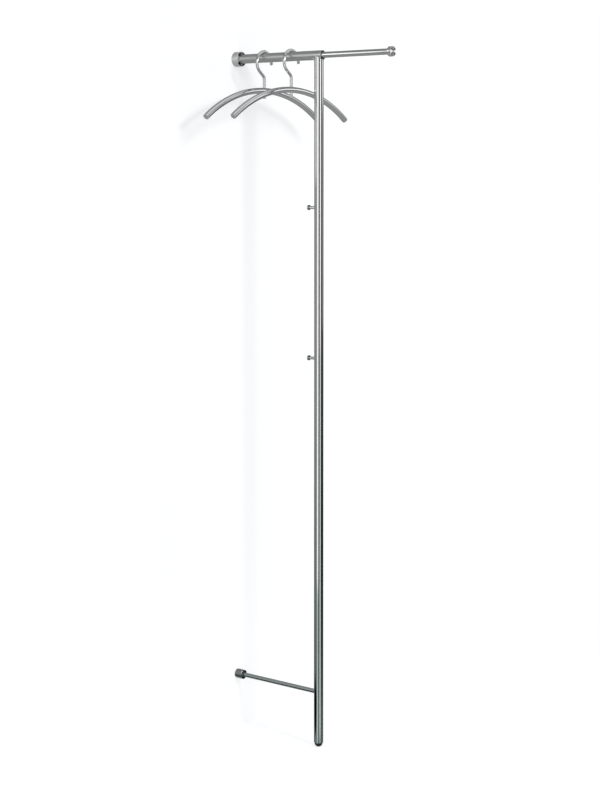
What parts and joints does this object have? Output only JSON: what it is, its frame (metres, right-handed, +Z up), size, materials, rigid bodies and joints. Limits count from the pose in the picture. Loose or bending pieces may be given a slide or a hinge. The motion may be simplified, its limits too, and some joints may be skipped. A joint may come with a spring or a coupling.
{
  "type": "wall coat rack",
  "caption": "Round-tube stainless wall coat rack: rail with pull-out rod on a footed upright, wall sockets, coat pegs and two bow hangers.",
  "frame": {"origin": "centre of the rubber foot's flat underside, on the floor and on the upright's axis", "axes": "+Z up along the upright, +Y towards the wall along the rail, +X along the far half of the hangers"},
  "size_m": [0.4794, 0.523, 1.8583],
  "materials": {
    "polished_tube": "stainless steel tube, polished",
    "satin_tube": "stainless steel tube, finely brushed satin",
    "turned_steel": "turned stainless steel, fine concentric tool marks on the faces",
    "polished_wire": "bent stainless steel round bar, polished",
    "zinc_steel": "zinc plated steel fixings",
    "grey_plastic": "turned acetal, matt grey",
    "black_rubber": "moulded black rubber, matt"
  },
  "bodies": {
    "rack_frame": {"upright_tube": "polished_tube", "top_rail_tube": "satin_tube", "rod_guide_bush": "turned_steel", "upright_head_plug": "zinc_steel", "tee_joint_stud": "zinc_steel", "upper_wall_socket": "turned_steel", "lower_wall_socket": "turned_steel", "socket_grub_screws": "zinc_steel", "lower_strut": "satin_tube", "strut_front_plug": "zinc_steel", "strut_stud": "zinc_steel", "upright_cross_insert": "zinc_steel", "upper_coat_peg": "turned_steel", "lower_coat_peg": "turned_steel", "peg_rivet_nuts": "zinc_steel", "foot_insert": "zinc_steel", "foot_stud": "zinc_steel", "rubber_foot": "black_rubber"},
    "sliding_rod": {"pull_out_rod": "polished_tube", "end_knob": "turned_steel", "knob_stud": "zinc_steel", "rod_front_plug": "zinc_steel", "rod_rear_plug": "zinc_steel", "rod_stop_collar": "grey_plastic", "stop_collar_screw": "zinc_steel"},
    "hanger_1": {"hanger_1_hook": "polished_wire", "hanger_1_bow": "polished_tube", "hanger_1_near_cap": "turned_steel", "hanger_1_far_cap": "turned_steel"},
    "hanger_2": {"hanger_2_hook": "polished_wire", "hanger_2_bow": "polished_tube", "hanger_2_near_cap": "turned_steel", "hanger_2_far_cap": "turned_steel"}
  },
  "joints": [
    {"name": "rod_slide", "type": "slide", "parent": "rack_frame", "child": "sliding_rod", "axis": [0, 1, 0], "range_m": [0, 0.2125]},
    {"name": "hanger_1_slide", "type": "slide", "parent": "rack_frame", "child": "hanger_1", "axis": [0, 1, 0], "range_m": [-0.038, 0.074]},
    {"name": "hanger_2_slide", "type": "slide", "parent": "rack_frame", "child": "hanger_2", "axis": [0, 1, 0], "range_m": [-0.072, 0.038]}
  ]
}
